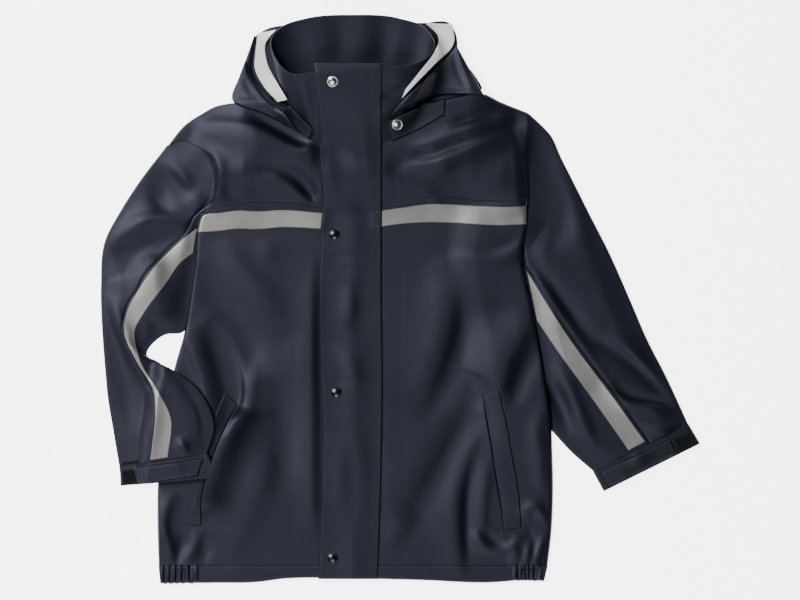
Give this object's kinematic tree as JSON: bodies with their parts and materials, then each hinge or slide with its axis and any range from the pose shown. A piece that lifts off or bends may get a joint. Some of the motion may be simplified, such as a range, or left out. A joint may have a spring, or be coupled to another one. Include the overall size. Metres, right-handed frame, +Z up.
{
  "type": "kids raincoat",
  "caption": "Child's hooded navy raincoat of coated cloth, snapped shut and laid out flat, with storm flap, reflective tape, welt pockets, elastic hem and tabbed cuffs",
  "frame": {"origin": "centre of the bounding box's footprint, on the table under the coat", "axes": "+X towards the wearer's left sleeve, +Y from the hem to the collar, +Z up from the table"},
  "size_m": [0.652, 0.6178, 0.046],
  "materials": {
    "navy_coated_cloth": "satin polyurethane coating on knit",
    "reflective_tape": "matte grey retroreflective",
    "white_hood_lining": "matte",
    "hook_and_loop": "fuzzy",
    "bare_snap": "polished",
    "navy_snap": "gloss"
  },
  "bodies": {
    "root": {"back": "navy_coated_cloth", "front_right": "navy_coated_cloth", "front_left": "navy_coated_cloth", "yoke_right": "navy_coated_cloth", "yoke_left": "navy_coated_cloth", "hem_back": "navy_coated_cloth", "hem_right": "navy_coated_cloth", "hem_left": "navy_coated_cloth", "placket": "navy_coated_cloth", "collar": "navy_coated_cloth", "sleeve_right_outer": "navy_coated_cloth", "sleeve_right_inner": "navy_coated_cloth", "sleeve_left_outer": "navy_coated_cloth", "sleeve_left_inner": "navy_coated_cloth", "cuff_right": "navy_coated_cloth", "cuff_left": "navy_coated_cloth", "cuff_tab_right": "navy_coated_cloth", "cuff_tab_left": "navy_coated_cloth", "pocket_welt_right": "navy_coated_cloth", "pocket_welt_left": "navy_coated_cloth", "hood_folded": "navy_coated_cloth", "hood_side_right": "navy_coated_cloth", "hood_side_left": "navy_coated_cloth", "hood_neckband_right": "navy_coated_cloth", "hood_neckband_left": "navy_coated_cloth", "chest_tape_right": "reflective_tape", "chest_tape_left": "reflective_tape", "sleeve_tape_right": "reflective_tape", "sleeve_tape_left": "reflective_tape", "hood_trim_right": "white_hood_lining", "hood_trim_left": "white_hood_lining", "cuff_hook_loop_right": "hook_and_loop", "cuff_hook_loop_left": "hook_and_loop", "snap_collar": "bare_snap", "snap_hood": "bare_snap", "snap_chest": "navy_snap", "snap_waist": "navy_snap", "snap_hem": "navy_snap"}
  },
  "joints": []
}
